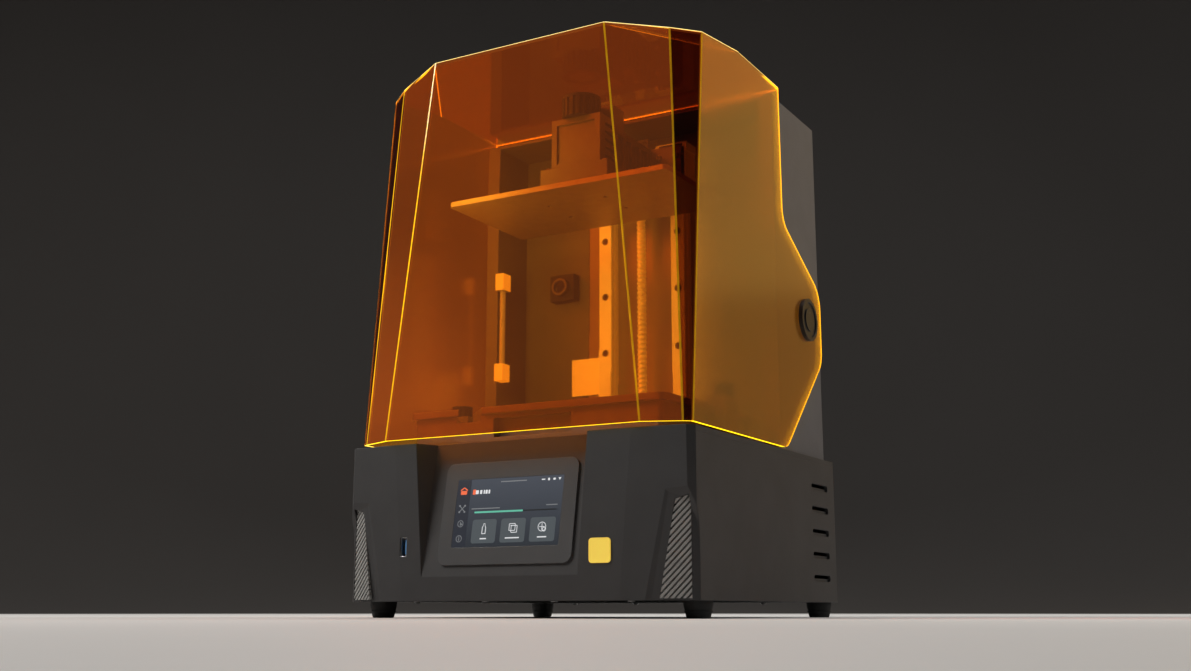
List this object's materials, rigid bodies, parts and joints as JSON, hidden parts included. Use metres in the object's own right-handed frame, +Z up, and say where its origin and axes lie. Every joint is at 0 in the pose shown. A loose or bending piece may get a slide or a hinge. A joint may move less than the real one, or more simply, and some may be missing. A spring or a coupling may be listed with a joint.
{
  "type": "resin printer",
  "caption": "Desktop resin printer: faceted tinted hood tipping up on a rear tower, platform on a screw lift over a vat, touch screen base.",
  "frame": {"origin": "on the ground, under the middle of the bounding box", "axes": "+X to the printer's right as its user faces it, +Y to the back, +Z up"},
  "size_m": [0.344, 0.3294, 0.5108],
  "materials": {
    "charcoal_shell": "fine matte texture",
    "charcoal_moulding": "matte moulded",
    "tower_paint": "satin powder coat",
    "amber_sheet": "clear tinted, polished",
    "black_rubber": "matte",
    "black_plastic": "matte",
    "screen_glass": "smooth",
    "display": "lit screen",
    "port_steel": "satin",
    "port_blue": "matte",
    "badge": "satin print",
    "grille": "matte",
    "screw_steel": "zinc plated",
    "lcd": "smooth dark",
    "engine_alloy": "sheet",
    "board": "coated board",
    "spine_alloy": "anodised",
    "rail_steel": "ground",
    "arm_alloy": "anodised",
    "platform_alloy": "fine blasted",
    "vat_alloy": "milled, anodised",
    "film": "clear film",
    "rocker_red": "moulded",
    "lamp": "diffuser",
    "label": "bare printed plate",
    "hinge_black": "fine texture"
  },
  "bodies": {
    "base": {"base_pan": "charcoal_shell", "front_fascia": "charcoal_moulding", "side_cover_left": "charcoal_shell", "side_cover_right": "charcoal_shell", "rear_panel": "charcoal_shell", "deck_plate": "charcoal_shell", "screen_glass": "screen_glass", "screen_display": "display", "usb_shell": "port_steel", "usb_tongue": "port_blue", "badge_plate": "badge", "grille_left": "grille", "grille_right": "grille", "feet": "black_rubber", "pan_screws": "screw_steel", "exposure_screen": "lcd", "light_engine": "engine_alloy", "mainboard": "board", "power_supply": "engine_alloy", "fan_frame": "black_plastic", "power_inlet": "black_plastic", "switch_frame": "black_plastic", "tower_shell": "tower_paint", "tower_back": "tower_paint", "rail_plate": "spine_alloy", "rail_left": "rail_steel", "rail_right": "rail_steel", "rail_screws": "screw_steel", "top_bearing": "spine_alloy", "lift_motor": "black_plastic", "vat_body": "vat_alloy", "release_film": "film", "vat_clamps": "arm_alloy", "lamp_bar": "lamp", "camera_module": "black_plastic", "label_plate": "label", "hinge_pins": "screw_steel"},
    "hood": {"hinge_caps": "hinge_black", "hood_front": "amber_sheet", "hood_corners": "amber_sheet", "hood_facets": "amber_sheet", "hood_side_left": "amber_sheet", "hood_side_right": "amber_sheet", "hood_crowns": "amber_sheet", "hood_roof": "amber_sheet"},
    "lift": {"carriages": "rail_steel", "ball_nut": "rail_steel", "lift_arm": "arm_alloy", "platform_block": "arm_alloy", "platform_plate": "platform_alloy"},
    "platform_clamp": {"platform_knob": "black_plastic"},
    "screw": {"ball_screw": "rail_steel", "motor_coupling": "screw_steel"},
    "fan": {"fan_rotor": "black_plastic"},
    "left_clamp_screw": {"vat_screw_left": "black_plastic"},
    "right_clamp_screw": {"vat_screw_right": "black_plastic"},
    "rocker": {"power_switch": "rocker_red"}
  },
  "joints": [
    {"name": "hood_hinge", "type": "hinge", "parent": "base", "child": "hood", "pos_m": [0, 0.11755, 0.2869], "axis": [-1, 0, 0], "range_deg": [0, 78]},
    {"name": "lift_slide", "type": "slide", "parent": "base", "child": "lift", "axis": [0, 0, 1], "range_m": [-0.238, 0]},
    {"name": "screw_spin", "type": "hinge", "parent": "base", "child": "screw", "pos_m": [0, 0.08775, 0.3], "axis": [0, 0, 1], "range_deg": [-17145, 10]},
    {"name": "clamp_knob", "type": "hinge", "parent": "lift", "child": "platform_clamp", "pos_m": [0, -0.03725, 0.48], "axis": [0, 0, 1], "range_deg": [0, 720]},
    {"name": "left_vat_screw", "type": "hinge", "parent": "base", "child": "left_clamp_screw", "pos_m": [-0.139, -0.03025, 0.2], "axis": [0, 0, 1], "range_deg": [0, 720]},
    {"name": "right_vat_screw", "type": "hinge", "parent": "base", "child": "right_clamp_screw", "pos_m": [0.139, -0.03025, 0.2], "axis": [0, 0, 1], "range_deg": [0, 720]},
    {"name": "fan_spin", "type": "hinge", "parent": "base", "child": "fan", "pos_m": [-0.07, 0.158, 0.086], "axis": [0, 1, 0], "continuous": true},
    {"name": "rocker_tip", "type": "hinge", "parent": "base", "child": "rocker", "pos_m": [0.105, 0.16075, 0.092], "axis": [-1, 0, 0], "range_deg": [0, 16]}
  ],
  "couplings": [
    {"joint": "screw_spin", "follows": "lift_slide", "rad_per_m": 1256.6}
  ]
}
